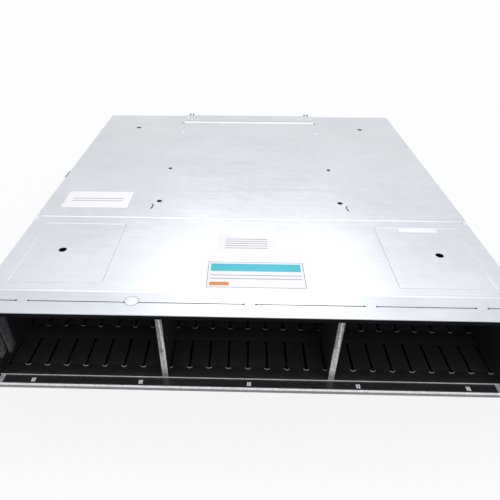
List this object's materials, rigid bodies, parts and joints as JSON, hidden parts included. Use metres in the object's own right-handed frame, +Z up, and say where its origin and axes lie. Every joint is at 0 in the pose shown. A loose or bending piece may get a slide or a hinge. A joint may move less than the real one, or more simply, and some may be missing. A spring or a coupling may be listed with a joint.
{
  "type": "storage array",
  "caption": "Low rack-mount storage enclosure with empty upright drive bays at the front, a midplane, and pull-out controllers and power supplies at the rear.",
  "frame": {"origin": "on the underside, in the middle of its width, below the front edge of the top sheet", "axes": "+X to the right seen from the front, +Y from the front to the rear, +Z up"},
  "size_m": [0.4826, 0.526, 0.0862],
  "materials": {
    "zinc": "satin",
    "black_sheet": "satin",
    "bare_sheet": "satin",
    "board": "satin",
    "plug": "matte",
    "fins": "satin",
    "cage": "satin",
    "plastic": "matte",
    "lever": "satin",
    "touch": "satin",
    "pin": "polished"
  },
  "bodies": {
    "chassis": {"base_pan": "zinc", "front_sill": "black_sheet", "side_wall_left": "zinc", "side_wall_right": "zinc", "front_header": "zinc", "front_cover": "zinc", "rear_cover": "zinc", "floor_guide": "black_sheet", "ceiling_guide": "black_sheet", "divider_left": "bare_sheet", "divider_right": "bare_sheet", "midplane_bracket": "bare_sheet", "midplane_standoffs": "pin", "midplane_board": "board", "drive_connectors": "plug", "rear_wall_left": "zinc", "rear_wall_right": "zinc", "controller_shelf": "zinc", "module_connectors": "plug"},
    "controller_upper": {"controller_tray_upper": "zinc", "controller_lid_upper": "zinc", "controller_board_upper": "board", "controller_heatsink_upper": "fins", "controller_faceplate_upper": "zinc", "controller_ports_upper": "cage", "ejector_pins_upper": "pin"},
    "lever_upper_left": {"ejector_upper_left": "lever"},
    "lever_upper_right": {"ejector_upper_right": "lever"},
    "controller_lower": {"controller_tray_lower": "zinc", "controller_lid_lower": "zinc", "controller_board_lower": "board", "controller_heatsink_lower": "fins", "controller_faceplate_lower": "zinc", "controller_ports_lower": "cage", "ejector_pins_lower": "pin"},
    "lever_lower_left": {"ejector_lower_left": "lever"},
    "lever_lower_right": {"ejector_lower_right": "lever"},
    "supply_left": {"psu_case_left": "zinc", "psu_faceplate_left": "zinc", "psu_inlet_left": "plastic", "psu_fan_frames_left": "plastic", "psu_handle_left": "black_sheet", "psu_board_left": "board"},
    "fan_left_a": {"psu_fan_left_a": "plastic"},
    "fan_left_b": {"psu_fan_left_b": "plastic"},
    "rocker_left": {"psu_switch_left": "plastic"},
    "thumb_latch_left": {"psu_latch_left": "touch"},
    "supply_right": {"psu_case_right": "zinc", "psu_faceplate_right": "zinc", "psu_inlet_right": "plastic", "psu_fan_frames_right": "plastic", "psu_handle_right": "black_sheet", "psu_board_right": "board"},
    "fan_right_a": {"psu_fan_right_a": "plastic"},
    "fan_right_b": {"psu_fan_right_b": "plastic"},
    "rocker_right": {"psu_switch_right": "plastic"},
    "thumb_latch_right": {"psu_latch_right": "touch"}
  },
  "joints": [
    {"name": "controller_upper_slide", "type": "slide", "parent": "chassis", "child": "controller_upper", "axis": [0, 1, 0], "range_m": [0, 0.3]},
    {"name": "ejector_upper_left_swing", "type": "hinge", "parent": "controller_upper", "child": "lever_upper_left", "pos_m": [-0.093, 0.5022, 0.0723], "axis": [0, 0, 1], "range_deg": [0, 75]},
    {"name": "ejector_upper_right_swing", "type": "hinge", "parent": "controller_upper", "child": "lever_upper_right", "pos_m": [0.093, 0.5022, 0.0723], "axis": [0, 0, -1], "range_deg": [0, 75]},
    {"name": "controller_lower_slide", "type": "slide", "parent": "chassis", "child": "controller_lower", "axis": [0, 1, 0], "range_m": [0, 0.3]},
    {"name": "ejector_lower_left_swing", "type": "hinge", "parent": "controller_lower", "child": "lever_lower_left", "pos_m": [-0.093, 0.5022, 0.0315], "axis": [0, 0, 1], "range_deg": [0, 75]},
    {"name": "ejector_lower_right_swing", "type": "hinge", "parent": "controller_lower", "child": "lever_lower_right", "pos_m": [0.093, 0.5022, 0.0315], "axis": [0, 0, -1], "range_deg": [0, 75]},
    {"name": "supply_left_slide", "type": "slide", "parent": "chassis", "child": "supply_left", "axis": [0, 1, 0], "range_m": [0, 0.3]},
    {"name": "fan_left_a_spin", "type": "hinge", "parent": "supply_left", "child": "fan_left_a", "pos_m": [-0.193, 0.4855, 0.0565], "axis": [0, 1, 0], "continuous": true},
    {"name": "fan_left_b_spin", "type": "hinge", "parent": "supply_left", "child": "fan_left_b", "pos_m": [-0.15, 0.4855, 0.0565], "axis": [0, 1, 0], "continuous": true},
    {"name": "switch_left_rock", "type": "hinge", "parent": "supply_left", "child": "rocker_left", "pos_m": [-0.166, 0.4938, 0.0175], "axis": [1, 0, 0], "range_deg": [0, 14]},
    {"name": "latch_left_press", "type": "hinge", "parent": "supply_left", "child": "thumb_latch_left", "pos_m": [-0.138, 0.473, 0.0125], "axis": [0, 0, -1], "range_deg": [0, 8], "stiffness_Nm_per_rad": 0.8},
    {"name": "supply_right_slide", "type": "slide", "parent": "chassis", "child": "supply_right", "axis": [0, 1, 0], "range_m": [0, 0.3]},
    {"name": "fan_right_a_spin", "type": "hinge", "parent": "supply_right", "child": "fan_right_a", "pos_m": [0.1343, 0.4855, 0.0565], "axis": [0, 1, 0], "continuous": true},
    {"name": "fan_right_b_spin", "type": "hinge", "parent": "supply_right", "child": "fan_right_b", "pos_m": [0.1773, 0.4855, 0.0565], "axis": [0, 1, 0], "continuous": true},
    {"name": "switch_right_rock", "type": "hinge", "parent": "supply_right", "child": "rocker_right", "pos_m": [0.1613, 0.4938, 0.0175], "axis": [1, 0, 0], "range_deg": [0, 14]},
    {"name": "latch_right_press", "type": "hinge", "parent": "supply_right", "child": "thumb_latch_right", "pos_m": [0.1893, 0.473, 0.0125], "axis": [0, 0, -1], "range_deg": [0, 8], "stiffness_Nm_per_rad": 0.8}
  ]
}
